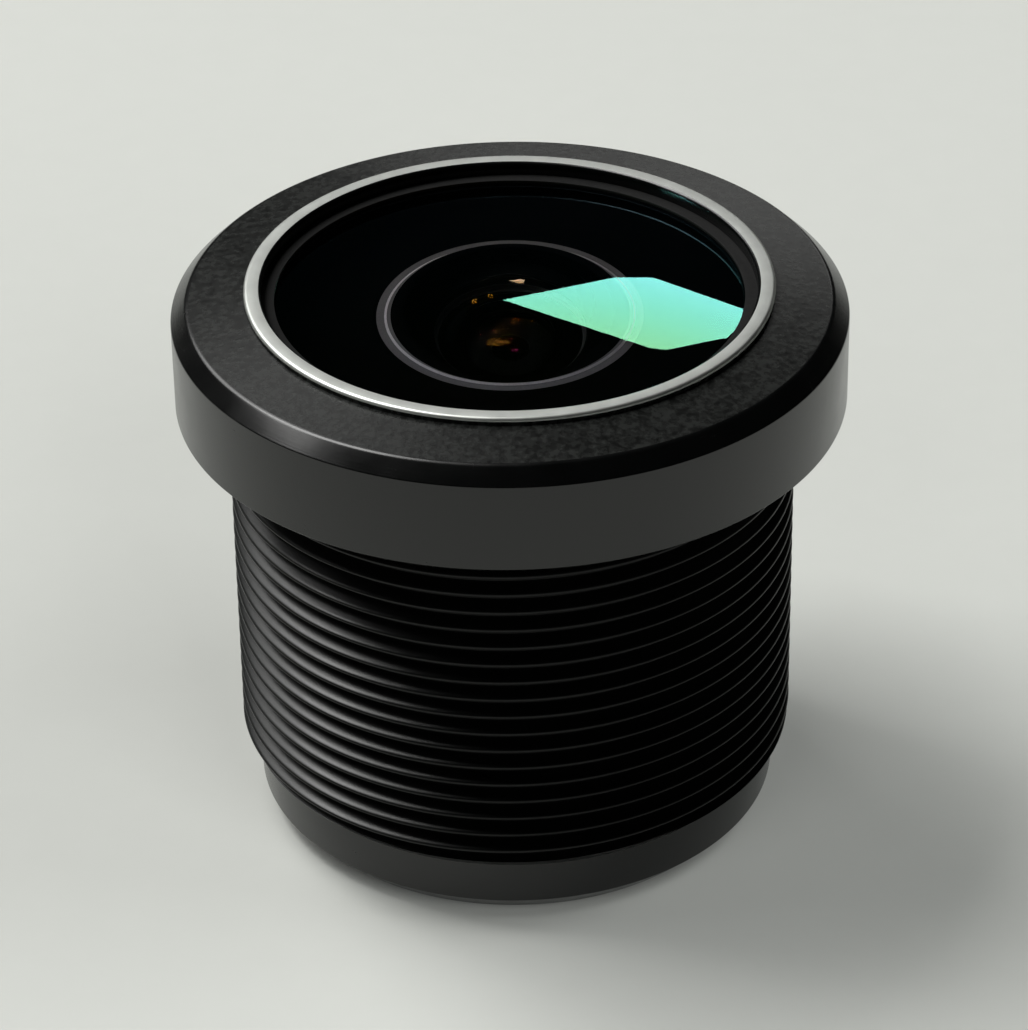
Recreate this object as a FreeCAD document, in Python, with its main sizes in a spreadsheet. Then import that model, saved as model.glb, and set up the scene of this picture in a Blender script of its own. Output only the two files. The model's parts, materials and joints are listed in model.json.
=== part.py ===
import FreeCAD, Part
import math
import os
import re

import Sketcher

# Board camera lens, front glass up. The origin is the middle of the rear face, which it stands on,
# and +Z points out of the front glass. All lengths are in millimetres.

# Driving sizes: name, value, meaning
SIZES = [
    # Barrel
    ("thread_radius", 7.0, "crest radius of the outside mounting thread, M14"),
    ("thread_pitch", 0.5, "pitch of the mounting thread"),
    ("thread_depth", 0.307, "height from thread root to crest"),
    ("thread_start", 1.7, "height of the plain rear band, where the thread's lead-in begins"),
    ("thread_lead_in", 0.39, "how far below that the cutter starts, clear of the metal"),
    ("thread_overrun", 0.05, "how far the cutter runs on past the front end, beyond its own width"),
    ("thread_root_flat", 0.083, "width of the flat at the thread root"),
    ("thread_crest_flat", 0.0625, "width of the flat on the thread crest"),
    ("cutter_stand", 0.03, "how far the cutter stands outside the crest"),
    ("barrel_height", 13.65, "rear face to the front end of the barrel"),
    ("barrel_front_chamfer", 0.2, "chamfer at the barrel's front end"),
    ("base_relief", 0.13, "how far the plain rear band lies under the thread root"),
    ("base_chamfer", 0.6, "chamfer round the rear face"),
    ("front_wall", 0.44, "wall between the front bore and the thread root"),
    ("web_thickness", 1.0, "inner web between the front and rear bores"),
    ("web_clearance", 0.4, "room between the web's hole and the second element's dome"),
    ("rear_wall", 1.96, "wall between the rear bore and the plain rear band"),
    ("recess_depth", 0.55, "depth of the filter recess in the rear face"),
    ("recess_ledge", 0.35, "width of the ledge that the filter lies on"),
    # Front cap
    ("cap_clearance", 0.05, "radial room between the cap's bore and the thread crests"),
    ("cap_wall", 1.21, "thickness of the cap's skirt"),
    ("cap_skirt", 2.26, "length of thread under the cap"),
    ("cap_stop_gap", 0.1, "room between the barrel's front end and the cap's roof"),
    ("cap_foot_chamfer", 0.1, "chamfers round the skirt's open end"),
    ("cap_edge_chamfer", 0.38, "chamfer between the cap's side and top"),
    ("cap_edge_round", 0.2, "rounding between that chamfer and the top face"),
    ("cap_roof", 0.16, "thickness of the roof beside the lip, over the slip ring"),
    ("cone_rise", 0.18, "how far the top face climbs from its outer edge to the lip"),
    ("lip_width", 0.43, "width of the raised lip round the glass"),
    ("lip_rise", 0.19, "height of the lip above the top face"),
    ("lip_round", 0.09, "rounding of the lip's two upper corners"),
    ("lip_overlap", 0.17, "how far the lip reaches in over the outer glass"),
    # Outer glass, its slip ring and its seal
    ("glass_clearance", 0.05, "radial room round the outer glass"),
    ("glass_edge", 2.145, "thickness of the outer glass at its rim"),
    ("glass_stand", 0.395, "how far the glass rim stands out of the barrel"),
    ("glass_land", 0.5, "flat land round the front dome"),
    ("glass_bevel", 0.1, "bevel round the rear of the outer glass"),
    ("glass_dome", 0.755, "height of the front dome above its land"),
    ("glass_centre", 0.82, "thickness of the outer glass on its axis"),
    ("cavity_radius", 2.78, "edge radius of the hollow in the rear of the outer glass"),
    ("cavity_bevel", 0.05, "bevel round the hollow's edge"),
    ("slip_thickness", 0.08, "thickness of the slip ring between cap and glass"),
    ("slip_setback", 0.02, "how far the slip ring stays back from the dome's edge"),
    ("seal_cord", 0.4, "cord diameter of the O-ring under the outer glass"),
    ("seal_inset", 0.6, "outer glass radius less the O-ring's centre line"),
    ("seal_room", 0.05, "room each side of the O-ring in its groove"),
    # Inner stack
    ("stack_clearance", 0.02, "radial room between the stack and the rear bore"),
    ("mask_thickness", 0.1, "thickness of the light masks and of the aperture stop"),
    ("mask_clearance", 0.1, "room between a dome's edge and the ring that it stands in"),
    ("clear_radius", 2.6, "edge radius of the domes behind the second element"),
    ("second_rim", 0.9, "second element: rim thickness"),
    ("second_land", 1.48, "second element: width of its front land"),
    ("second_dome", 0.96, "second element: height of its front dome"),
    ("second_centre", 0.55, "second element: thickness on the axis"),
    ("second_hollow_radius", 2.2, "second element: edge radius of its rear hollow"),
    ("third_rim", 1.0, "third element: rim thickness"),
    ("third_front_dome", 0.5, "third element: height of its front dome"),
    ("third_rear_dome", 0.47, "third element: height of its rear dome"),
    ("fourth_rim", 0.9, "fourth element: rim thickness"),
    ("fourth_front_dome", 0.38, "fourth element: height of its front dome"),
    ("fourth_rear_dome", 0.43, "fourth element: height of its rear dome"),
    ("crown_rim", 0.7, "cemented pair, front glass: rim thickness"),
    ("crown_dome", 0.38, "cemented pair, front glass: height of its front dome"),
    ("joint_radius", 2.9, "cemented pair: edge radius of the cemented faces"),
    ("joint_dome", 0.8, "cemented pair: depth of the cemented faces"),
    ("cement_gap", 0.01, "cemented pair: thickness of the cement"),
    ("flint_centre", 0.45, "cemented pair, rear glass: thickness on the axis"),
    ("flint_hollow", 0.2, "cemented pair, rear glass: depth of its rear hollow"),
    ("front_air", 0.2, "air between the second element's rim and the third element"),
    ("stop_air", 0.15, "air between the aperture stop and the domes each side of it"),
    ("pair_air", 0.1, "air between the fourth element and the cemented pair"),
    ("stop_hole", 1.0, "radius of the aperture"),
    ("retainer_thickness", 0.8, "thickness of the ring that holds the stack"),
    ("retainer_width", 1.58, "radial width of that ring"),
    ("retainer_countersink", 0.4, "countersink in its rear face"),
    ("slot_width", 0.8, "width of its spanner slots"),
    ("slot_depth", 0.4, "depth of its spanner slots"),
    # Rear filter
    ("filter_thickness", 0.3, "thickness of the filter plate"),
    ("filter_clearance", 0.05, "radial room round the filter plate"),
    ("glue_setback", 0.05, "how far the glue stays inside the rear face"),
]

# Sizes that follow from the driving ones, so that pieces which fit together stay together
FITS = [
    ("root_radius", "thread_radius - thread_depth"),
    ("front_bore", "root_radius - front_wall"),
    ("glass_radius", "front_bore - glass_clearance"),
    ("dome_radius", "glass_radius - glass_land"),
    ("hollow_depth", "glass_edge + glass_dome - glass_centre"),
    ("seat_height", "barrel_height + glass_stand - glass_edge"),
    ("web_rear", "seat_height - web_thickness"),
    ("seal_radius", "glass_radius - seal_inset"),
    ("groove_half", "seal_cord / 2 + seal_room"),
    ("base_radius", "root_radius - base_relief"),
    ("rear_bore", "base_radius - rear_wall"),
    ("recess_radius", "rear_bore + recess_ledge"),
    ("cap_bore", "thread_radius + cap_clearance"),
    ("cap_radius", "cap_bore + cap_wall"),
    ("cap_ceiling", "cap_skirt + glass_stand + slip_thickness"),
    ("lip_foot", "cap_ceiling + cap_roof"),
    ("lip_crest", "lip_foot + lip_rise"),
    ("cap_corner", "lip_foot - cone_rise"),
    ("lip_inner", "glass_radius - lip_overlap"),
    ("stack_radius", "rear_bore - stack_clearance"),
    ("second_dome_edge", "stack_radius - second_land"),
    ("second_hollow", "second_rim + second_dome - second_centre"),
    ("front_hole", "second_dome_edge + mask_clearance"),
    ("rear_hole", "clear_radius + mask_clearance"),
    ("web_hole", "second_dome_edge + web_clearance"),
    ("front_spacer_length", "front_air + third_front_dome"),
    ("middle_spacer_length", "third_rear_dome + stop_air"),
    ("stop_spacer_length", "stop_air + fourth_front_dome"),
    ("fourth_spacer_length", "fourth_rear_dome + pair_air + crown_dome"),
    ("flint_rim", "joint_dome + flint_centre + flint_hollow"),
    ("retainer_hole", "stack_radius - retainer_width"),
    ("filter_radius", "recess_radius - filter_clearance"),
    ("filter_rear", "recess_depth - filter_thickness"),
    ("glue_leg", "filter_rear - glue_setback"),
]

NAMED = {name: "Sizes" for name, value, meaning in SIZES}
NAMED.update({name: "Fits" for name, formula in FITS})
FULL_TURN = 360.0
FLANK_SLOPE = math.tan(math.radians(30))
SLOT_COUNT = 2
NEAR = 1e-6

doc = FreeCAD.newDocument("board_camera_lens")


def bound(text):
    """The expression that reads each named size where it is kept."""
    return re.sub(r"[a-z_]+\w*", lambda word: f"{NAMED[word.group()]}.{word.group()}", text)


def size(text):
    """The present value of an expression on the named sizes."""
    return float(doc.getObject("Sizes").evalExpression(bound(text)))


def size_sheet():
    """The sheet of driving sizes and the set of fits that follow from them."""
    sheet = doc.addObject("Spreadsheet::Sheet", "Sizes")
    for row, (name, value, meaning) in enumerate(SIZES, start=1):
        sheet.set(f"A{row}", name)
        sheet.set(f"B{row}", str(value))
        sheet.set(f"C{row}", meaning)
        sheet.setAlias(f"B{row}", name)
    doc.recompute()
    fits = doc.addObject("App::VarSet", "Fits")
    for name, formula in FITS:
        fits.addProperty("App::PropertyFloat", name)
        fits.setExpression(name, bound(formula))
    doc.recompute()


def new_body(label):
    body = doc.addObject("PartDesign::Body", label)
    body.Label = label
    return body


def new_sketch(body, role, name):
    """A sketch on one of the body's own origin planes."""
    sketch = body.newObject("Sketcher::SketchObject", name)
    plane = next(item for item in body.Origin.OriginFeatures if item.Role == role)
    sketch.AttachmentSupport = [(plane, "")]
    sketch.MapMode = "FlatFace"
    return sketch


def pin_coordinate(sketch, kind, segment, end, text, name):
    """Hold one coordinate of a sketch point at an expression, or on the axis when it is 0."""
    if text == "0":
        axis = -2 if kind == "DistanceX" else -1
        sketch.addConstraint(Sketcher.Constraint("PointOnObject", segment, end, axis))
        return
    index = sketch.addConstraint(Sketcher.Constraint(kind, -1, 1, segment, end, size(text)))
    sketch.renameConstraint(index, name)
    sketch.setExpression(f"Constraints.{name}", bound(text))


def arc_between(start, end):
    """The arc about a point of the axis, the short way round, and which of its ends is at start."""
    (x1, y1), (x2, y2) = start, end
    centre = (0.0, (x1 ** 2 - x2 ** 2 + y1 ** 2 - y2 ** 2) / (2 * (y1 - y2)))
    radius = math.hypot(x1 - centre[0], y1 - centre[1])
    angle1 = math.atan2(y1 - centre[1], x1 - centre[0])
    angle2 = math.atan2(y2 - centre[1], x2 - centre[0])
    forward = (angle2 - angle1) % (2 * math.pi) <= math.pi + NEAR
    if not forward:
        angle1, angle2 = angle2, angle1
    circle = Part.Circle(FreeCAD.Vector(*centre, 0), FreeCAD.Vector(0, 0, 1), radius)
    return Part.ArcOfCircle(circle, angle1, angle2), forward


def outline(body, name, corners, domes=()):
    """A closed half section. Corners are (radius, height), and the sides numbered in domes are round."""
    sketch = new_sketch(body, "XZ_Plane", name)
    points = [(size(x), size(y)) for x, y in corners]
    ends = []
    for side, start in enumerate(points):
        end = points[(side + 1) % len(points)]
        if side in domes:
            curve, forward = arc_between(start, end)
            sketch.addGeometry(curve, False)
            ends.append((1, 2) if forward else (2, 1))
        else:
            line = Part.LineSegment(FreeCAD.Vector(*start, 0), FreeCAD.Vector(*end, 0))
            sketch.addGeometry(line, False)
            ends.append((1, 2))
    for side, (x, y) in enumerate(corners):
        following = (side + 1) % len(corners)
        joined = Sketcher.Constraint("Coincident", side, ends[side][1], following, ends[following][0])
        sketch.addConstraint(joined)
        pin_coordinate(sketch, "DistanceX", side, ends[side][0], x, f"radius_{side}")
        pin_coordinate(sketch, "DistanceY", side, ends[side][0], y, f"height_{side}")
    for side in domes:
        sketch.addConstraint(Sketcher.Constraint("PointOnObject", side, 3, -2))
    return sketch


def turned(label, corners, domes=()):
    """A turned piece: a half section swept once round the axis."""
    body = new_body(label)
    sketch = outline(body, f"{label}_section", corners, domes)
    solid = body.newObject("PartDesign::Revolution", f"{label}_turned")
    solid.Profile = sketch
    solid.ReferenceAxis = (sketch, ["V_Axis"])
    solid.Angle = FULL_TURN
    return body


def circle_in(sketch, radius, name):
    """A circle about the sketch's origin."""
    circle = Part.Circle(FreeCAD.Vector(0, 0, 0), FreeCAD.Vector(0, 0, 1), size(radius))
    index = sketch.addGeometry(circle, False)
    sketch.addConstraint(Sketcher.Constraint("Coincident", index, 3, -1, 1))
    held = sketch.addConstraint(Sketcher.Constraint("Radius", index, size(radius)))
    sketch.renameConstraint(held, name)
    sketch.setExpression(f"Constraints.{name}", bound(radius))


def flat_ring(label, outer, thickness, hole=None):
    """A washer, spacer or plate, padded up from its rear face."""
    body = new_body(label)
    sketch = new_sketch(body, "XY_Plane", f"{label}_face")
    circle_in(sketch, outer, "outer")
    if hole:
        circle_in(sketch, hole, "hole")
    pad = body.newObject("PartDesign::Pad", f"{label}_pad")
    pad.Profile = sketch
    pad.setExpression("Length", bound(thickness))
    return body


def set_height(piece, text):
    """Stand a piece at a height above the rear face."""
    piece.setExpression("Placement.Base.z", bound(text))


def hang_below(piece, above, thickness):
    """Seat a piece's front rim on the rear rim of the piece above it."""
    piece.setExpression("Placement.Base.z", f"{above.Name}.Placement.Base.z - {bound(thickness)} * 1 mm")


def cut_thread(body):
    """The mounting thread, one helical groove from below the lead-in to past the front end."""
    half_root = "thread_root_flat / 2"
    half_crest = f"(thread_pitch - thread_crest_flat) / 2 + cutter_stand * {FLANK_SLOPE}"
    start = "thread_start - thread_lead_in"
    corners = [
        ("root_radius", f"{start} - {half_root}"),
        ("thread_radius + cutter_stand", f"{start} - ({half_crest})"),
        ("thread_radius + cutter_stand", f"{start} + {half_crest}"),
        ("root_radius", f"{start} + {half_root}"),
    ]
    sketch = outline(body, "thread_groove", corners)
    groove = body.newObject("PartDesign::SubtractiveHelix", "barrel_thread")
    groove.Profile = sketch
    groove.ReferenceAxis = (sketch, ["V_Axis"])
    groove.Mode = "pitch-height-angle"
    groove.setExpression("Pitch", bound("thread_pitch"))
    length = f"barrel_height + thread_pitch + thread_overrun - ({start})"
    groove.setExpression("Height", bound(length))


def barrel():
    """The body: rear band, mounting thread, front bore with a sealed seat, web and rear bore."""
    corners = [
        ("recess_radius", "0"),
        ("base_radius - base_chamfer", "0"),
        ("base_radius", "base_chamfer"),
        ("base_radius", "thread_start"),
        ("thread_radius", "thread_start + thread_radius - base_radius"),
        ("thread_radius", "barrel_height - barrel_front_chamfer"),
        ("thread_radius - barrel_front_chamfer", "barrel_height"),
        ("front_bore", "barrel_height"),
        ("front_bore", "seat_height"),
        ("seal_radius + groove_half", "seat_height"),
        ("seal_radius + groove_half", "seat_height - seal_cord"),
        ("seal_radius - groove_half", "seat_height - seal_cord"),
        ("seal_radius - groove_half", "seat_height"),
        ("web_hole", "seat_height"),
        ("web_hole", "web_rear"),
        ("rear_bore", "web_rear"),
        ("rear_bore", "recess_depth"),
        ("recess_radius", "recess_depth"),
    ]
    body = turned("barrel", corners)
    cut_thread(body)
    return body


def rim_edge(shape, radius, height):
    """The name of the round edge with this radius at this height."""
    for number, edge in enumerate(shape.Edges, start=1):
        if not isinstance(edge.Curve, Part.Circle):
            continue
        if abs(edge.Curve.Radius - radius) < NEAR and abs(edge.Curve.Center.z - height) < NEAR:
            return f"Edge{number}"
    raise RuntimeError(f"no round edge of radius {radius} at height {height}")


def round_rims(body, name, rounding, rims):
    """Round the edges of a turned body at these (radius, height) corners."""
    doc.recompute()
    solid = body.Tip
    fillet = body.newObject("PartDesign::Fillet", name)
    fillet.Base = (solid, [rim_edge(solid.Shape, size(radius), size(height)) for radius, height in rims])
    fillet.setExpression("Radius", bound(rounding))


def head_cap():
    """The front cap, which screws over the barrel and presses on the slip ring."""
    side_top = "cap_corner - cap_edge_chamfer"
    corners = [
        ("cap_bore + cap_foot_chamfer", "0"),
        ("cap_radius - cap_foot_chamfer", "0"),
        ("cap_radius", "cap_foot_chamfer"),
        ("cap_radius", side_top),
        ("cap_radius - cap_edge_chamfer", "cap_corner"),
        ("lip_inner + lip_width", "lip_foot"),
        ("lip_inner + lip_width", "lip_crest"),
        ("lip_inner", "lip_crest"),
        ("lip_inner", "cap_ceiling"),
        ("front_bore", "cap_ceiling"),
        ("front_bore", "cap_skirt + cap_stop_gap"),
        ("cap_bore", "cap_skirt + cap_stop_gap"),
        ("cap_bore", "cap_foot_chamfer"),
    ]
    body = turned("head_cap", corners)
    round_rims(body, "head_cap_edge", "cap_edge_round", [("cap_radius - cap_edge_chamfer", "cap_corner")])
    lip_corners = [("lip_inner + lip_width", "lip_crest"), ("lip_inner", "lip_crest")]
    round_rims(body, "head_cap_lip", "lip_round", lip_corners)
    set_height(body, "barrel_height - cap_skirt")
    return body


def front_element():
    """The outer glass: a low front dome on a flat land, and a deep hollow behind."""
    corners = [
        ("cavity_radius + cavity_bevel", "0"),
        ("glass_radius - glass_bevel", "0"),
        ("glass_radius", "glass_bevel"),
        ("glass_radius", "glass_edge"),
        ("dome_radius", "glass_edge"),
        ("0", "glass_edge + glass_dome"),
        ("0", "hollow_depth"),
        ("cavity_radius", "cavity_bevel"),
    ]
    body = turned("front_element", corners, (4, 6))
    set_height(body, "seat_height")
    return body


def glass_slip_ring():
    """Thin ring that lets the cap turn on the glass without dragging it."""
    body = flat_ring("glass_slip_ring", "glass_radius", "slip_thickness", "dome_radius + slip_setback")
    set_height(body, "barrel_height + glass_stand")
    return body


def front_o_ring():
    """The seal in the barrel's seat, pressed by the rear of the outer glass."""
    ring = doc.addObject("Part::Torus", "front_o_ring")
    ring.Label = "front_o_ring"
    ring.setExpression("Radius1", bound("seal_radius"))
    ring.setExpression("Radius2", bound("seal_cord / 2"))
    set_height(ring, "seat_height - seal_cord / 2")
    return ring


def second_element():
    """Strongly curved glass whose dome stands in the web's hole."""
    corners = [
        ("second_hollow_radius", "0"),
        ("stack_radius", "0"),
        ("stack_radius", "second_rim"),
        ("second_dome_edge", "second_rim"),
        ("0", "second_rim + second_dome"),
        ("0", "second_hollow"),
    ]
    return turned("second_element", corners, (3, 5))


def double_dome(label, rim, front_dome, rear_dome, rear_radius="clear_radius"):
    """A glass that bulges at both faces, with a flat rim. Height 0 is the rim's rear face."""
    corners = [
        (rear_radius, "0"),
        ("stack_radius", "0"),
        ("stack_radius", rim),
        ("clear_radius", rim),
        ("0", f"{rim} + {front_dome}"),
        ("0", f"0 - {rear_dome}"),
    ]
    return turned(label, corners, (3, 5))


def doublet_flint():
    """The rear glass of the cemented pair, hollow at both faces."""
    corners = [
        ("clear_radius", "0"),
        ("stack_radius", "0"),
        ("stack_radius", "flint_rim"),
        ("joint_radius", "flint_rim"),
        ("0", "flint_rim - joint_dome"),
        ("0", "flint_hollow"),
    ]
    return turned("doublet_flint", corners, (3, 5))


def stack_ring(label, thickness, hole):
    """A washer or spacer of the inner stack."""
    return flat_ring(label, "stack_radius", thickness, hole)


def cut_spanner_slots(body):
    """Slots across the ring's rear face, for the spanner that screws it in."""
    solid = body.Tip
    sketch = new_sketch(body, "XY_Plane", "slot_face")
    left, right = "retainer_hole - slot_width", "stack_radius + slot_width"
    half = "slot_width / 2"
    corners = [(left, f"0 - {half}"), (right, f"0 - {half}"), (right, half), (left, half)]
    points = [FreeCAD.Vector(size(x), size(y), 0) for x, y in corners]
    for side, start in enumerate(points):
        sketch.addGeometry(Part.LineSegment(start, points[(side + 1) % len(points)]), False)
    for side, (x, y) in enumerate(corners):
        sketch.addConstraint(Sketcher.Constraint("Coincident", side, 2, (side + 1) % len(corners), 1))
        pin_coordinate(sketch, "DistanceX", side, 1, x, f"across_{side}")
        pin_coordinate(sketch, "DistanceY", side, 1, y, f"along_{side}")
    slot = body.newObject("PartDesign::Pocket", "spanner_slot")
    slot.Profile = sketch
    slot.Reversed = True
    slot.setExpression("Length", bound("slot_depth"))
    doc.recompute()
    if slot.Shape.Volume >= solid.Shape.Volume:
        raise RuntimeError("the spanner slot cuts nothing")
    pattern = body.newObject("PartDesign::PolarPattern", "spanner_slots")
    pattern.Originals = [slot]
    pattern.Axis = (sketch, ["N_Axis"])
    pattern.Angle = FULL_TURN
    pattern.Occurrences = SLOT_COUNT
    body.Tip = pattern


def rear_retainer():
    """The ring that screws into the rear bore and holds the stack against the web."""
    corners = [
        ("retainer_hole + retainer_countersink", "0"),
        ("stack_radius", "0"),
        ("stack_radius", "retainer_thickness"),
        ("retainer_hole", "retainer_thickness"),
        ("retainer_hole", "retainer_thickness / 2"),
    ]
    body = turned("rear_retainer", corners)
    doc.recompute()
    cut_spanner_slots(body)
    return body


def inner_stack():
    """The glasses, masks, spacers and retainer in the rear bore, each seated on the one above."""
    first = stack_ring("front_light_mask", "mask_thickness", "front_hole")
    set_height(first, "web_rear - mask_thickness")
    third = double_dome("third_element", "third_rim", "third_front_dome", "third_rear_dome")
    fourth = double_dome("fourth_element", "fourth_rim", "fourth_front_dome", "fourth_rear_dome")
    crown = double_dome("doublet_crown", "crown_rim", "crown_dome", "joint_dome", "joint_radius")
    rest = [
        (second_element(), "second_rim"),
        (stack_ring("front_spacer", "front_spacer_length", "rear_hole"), "front_spacer_length"),
        (third, "third_rim"),
        (stack_ring("middle_spacer", "middle_spacer_length", "rear_hole"), "middle_spacer_length"),
        (stack_ring("aperture_stop", "mask_thickness", "stop_hole"), "mask_thickness"),
        (stack_ring("stop_spacer", "stop_spacer_length", "rear_hole"), "stop_spacer_length"),
        (fourth, "fourth_rim"),
        (stack_ring("fourth_spacer", "fourth_spacer_length", "rear_hole"), "fourth_spacer_length"),
        (crown, "crown_rim"),
        (doublet_flint(), "(flint_rim + cement_gap)"),
        (stack_ring("rear_light_mask", "mask_thickness", "rear_hole"), "mask_thickness"),
        (rear_retainer(), "retainer_thickness"),
    ]
    above = first
    for piece, thickness in rest:
        hang_below(piece, above, thickness)
        above = piece
    return [first] + [piece for piece, thickness in rest]


def ir_cut_filter():
    """The thin filter plate that lies on the recess's ledge."""
    plate = flat_ring("ir_cut_filter", "filter_radius", "filter_thickness")
    set_height(plate, "filter_rear")
    return plate


def filter_glue_ring():
    """The fillet of adhesive between the filter's rear face and the recess wall."""
    corners = [
        ("recess_radius", "0"),
        ("recess_radius", "glue_leg"),
        ("recess_radius - glue_leg", "glue_leg"),
    ]
    ring = turned("filter_glue_ring", corners)
    set_height(ring, "filter_rear - glue_leg")
    return ring


def write_pieces(pieces):
    """Check every object, then write each piece's solid to its own file."""
    for item in doc.Objects:
        if "Invalid" in item.State or "Error" in item.State:
            raise RuntimeError(f"{item.Name} failed: {item.State}")
    for piece in pieces:
        shape = piece.Shape
        if shape.isNull() or not shape.isValid() or len(shape.Solids) != 1:
            raise RuntimeError(f"{piece.Label} is not one valid solid")
    os.makedirs("parts", exist_ok=True)
    for piece in pieces:
        piece.Shape.exportStep(f"parts/{piece.Label}.step")
        box = piece.Shape.BoundBox
        print(f"{piece.Label}: {box.XLength:.2f} across, {box.ZMin:.3f} to {box.ZMax:.3f} high")


size_sheet()
lens_pieces = [barrel(), head_cap(), front_element(), glass_slip_ring(), front_o_ring()]
lens_pieces += inner_stack()
lens_pieces += [ir_cut_filter(), filter_glue_ring()]
doc.recompute()
write_pieces(lens_pieces)
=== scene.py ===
import json
import math

import bmesh
import bpy
from bpy.props import FloatProperty, FloatVectorProperty, IntProperty, PointerProperty
from mathutils import Matrix, Vector

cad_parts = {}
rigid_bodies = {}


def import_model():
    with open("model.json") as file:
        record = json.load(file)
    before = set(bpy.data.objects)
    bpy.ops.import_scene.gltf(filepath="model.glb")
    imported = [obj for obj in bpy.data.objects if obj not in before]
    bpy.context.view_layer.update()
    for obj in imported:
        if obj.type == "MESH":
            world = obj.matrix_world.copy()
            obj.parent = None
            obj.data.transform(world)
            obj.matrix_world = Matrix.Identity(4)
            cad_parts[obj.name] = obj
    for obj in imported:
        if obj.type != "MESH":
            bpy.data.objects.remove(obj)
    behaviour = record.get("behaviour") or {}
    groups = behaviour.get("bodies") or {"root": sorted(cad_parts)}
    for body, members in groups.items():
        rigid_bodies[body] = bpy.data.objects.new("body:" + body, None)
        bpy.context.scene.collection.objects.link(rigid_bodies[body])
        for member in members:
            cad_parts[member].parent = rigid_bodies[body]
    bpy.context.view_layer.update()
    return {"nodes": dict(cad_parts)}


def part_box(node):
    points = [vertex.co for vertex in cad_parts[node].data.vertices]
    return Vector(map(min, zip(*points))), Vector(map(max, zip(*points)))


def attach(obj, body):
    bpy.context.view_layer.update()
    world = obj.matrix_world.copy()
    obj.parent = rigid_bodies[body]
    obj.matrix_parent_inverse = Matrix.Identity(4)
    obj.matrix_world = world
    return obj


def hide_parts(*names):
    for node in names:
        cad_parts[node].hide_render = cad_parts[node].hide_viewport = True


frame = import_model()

bl_info = {
    "name": "Board Camera Lens",
    "version": (1, 0, 0),
    "blender": (4, 5, 0),
    "location": "3D Viewport > Sidebar > Lens",
    "description": "Dresses a board camera lens: threaded barrel, front cap, glasses, rings and rear filter",
    "category": "Object",
}

MM = 0.001
FULL_TURN = 2 * math.pi
NEAR = 1e-7

# Degrees between two faces from which their shared edge is kept sharp
SHARP_ANGLE = 28.0


def span(node):
    """A turned node's outer radius and the heights of its rear and front, in metres."""
    low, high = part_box(node)
    return high.x, low.z, high.z


# Sizes, finishes and light


def length(name, description, default):
    """A length property whose default is given in millimetres."""
    return FloatProperty(name=name, description=description, default=default * MM, min=0.0, precision=6,
                         unit="LENGTH")


def share(name, description, default):
    """A property from 0 to 1."""
    return FloatProperty(name=name, description=description, default=default, min=0.0, max=1.0,
                         subtype="FACTOR")


def nanometres(name, description, default):
    """The thickness of a coating."""
    return FloatProperty(name=name, description=description, default=default, min=0.0, max=2000.0)


def watts(name, description, default):
    """The power of a light."""
    return FloatProperty(name=name, description=description, default=default, min=0.0, unit="POWER")


def colour(name, description, default):
    """A colour property."""
    return FloatVectorProperty(name=name, description=description, default=default, size=3, min=0.0,
                               max=1.0, subtype="COLOR")


class LensSizes(bpy.types.PropertyGroup):
    """Sizes of the lens that its pieces share."""

    segments: IntProperty(name="Segments", description="Sides of each turned surface", default=240, min=24)
    thread_pitch: length("Thread pitch", "Rise of the mounting thread in one turn", 0.5)
    thread_depth: length("Thread depth", "Height from the thread's root to its crest", 0.307)
    thread_begin: length("Thread begin", "Height at which the first groove passes +X", 1.31)
    root_flat: length("Root flat", "Width of the flat at the thread's root", 0.083)
    band_radius: length("Band radius", "Radius of the plain band under the thread", 6.563)
    band_height: length("Band height", "Height of the plain band's upper edge", 1.7)
    rear_chamfer: length("Rear chamfer", "Chamfer round the rear face", 0.6)
    front_chamfer: length("Front chamfer", "Chamfer at the barrel's front end", 0.2)
    recess_radius: length("Recess radius", "Radius of the filter's recess", 4.953)
    recess_depth: length("Recess depth", "Depth of the filter's recess", 0.55)
    rear_bore: length("Rear bore", "Radius of the bore that holds the stack", 4.603)
    web_hole: length("Web hole", "Radius of the hole in the inner web", 3.503)
    web_rear: length("Web rear", "Height of the web's rear face", 10.9)
    seal_inner: length("Seal groove inside", "Inner radius of the O-ring's groove", 5.353)
    seal_outer: length("Seal groove outside", "Outer radius of the O-ring's groove", 5.853)
    seal_floor: length("Seal groove floor", "Height of the O-ring groove's floor", 11.5)
    front_bore: length("Front bore", "Radius of the bore round the outer glass", 6.253)
    cap_bore: length("Cap bore", "Radius of the front cap's bore", 7.05)
    cap_corner: length("Cap corner", "Height of the corner between the cap's top and chamfer", 14.105)
    cap_chamfer: length("Cap chamfer", "Size of that chamfer", 0.38)
    cap_rounding: length("Cap rounding", "Rounding of the corner between the cap's top and chamfer", 0.2)
    cap_shoulder: length("Cap shoulder", "Height of the ceiling over the barrel's front end", 13.75)
    lip_radius: length("Lip radius", "Inner radius of the cap's lip", 6.033)
    lip_width: length("Lip width", "Width of the raised lip", 0.43)
    lip_foot: length("Lip foot", "Height at which the lip leaves the cap's top", 14.285)
    lip_round: length("Lip rounding", "Rounding of the lip's two upper corners", 0.09)
    dome_radius: length("Dome radius", "Edge radius of the outer glass's dome", 5.703)
    hollow_radius: length("Hollow radius", "Edge radius of the hollow behind the outer glass", 2.78)
    hollow_bevel: length("Hollow bevel", "Bevel round that hollow", 0.05)
    ground_ring: length("Ground ring", "Width of the unpainted ground ring round that bevel", 0.18)
    hollow_top: length("Hollow top", "Height of that hollow's deepest point", 13.98)


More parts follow.
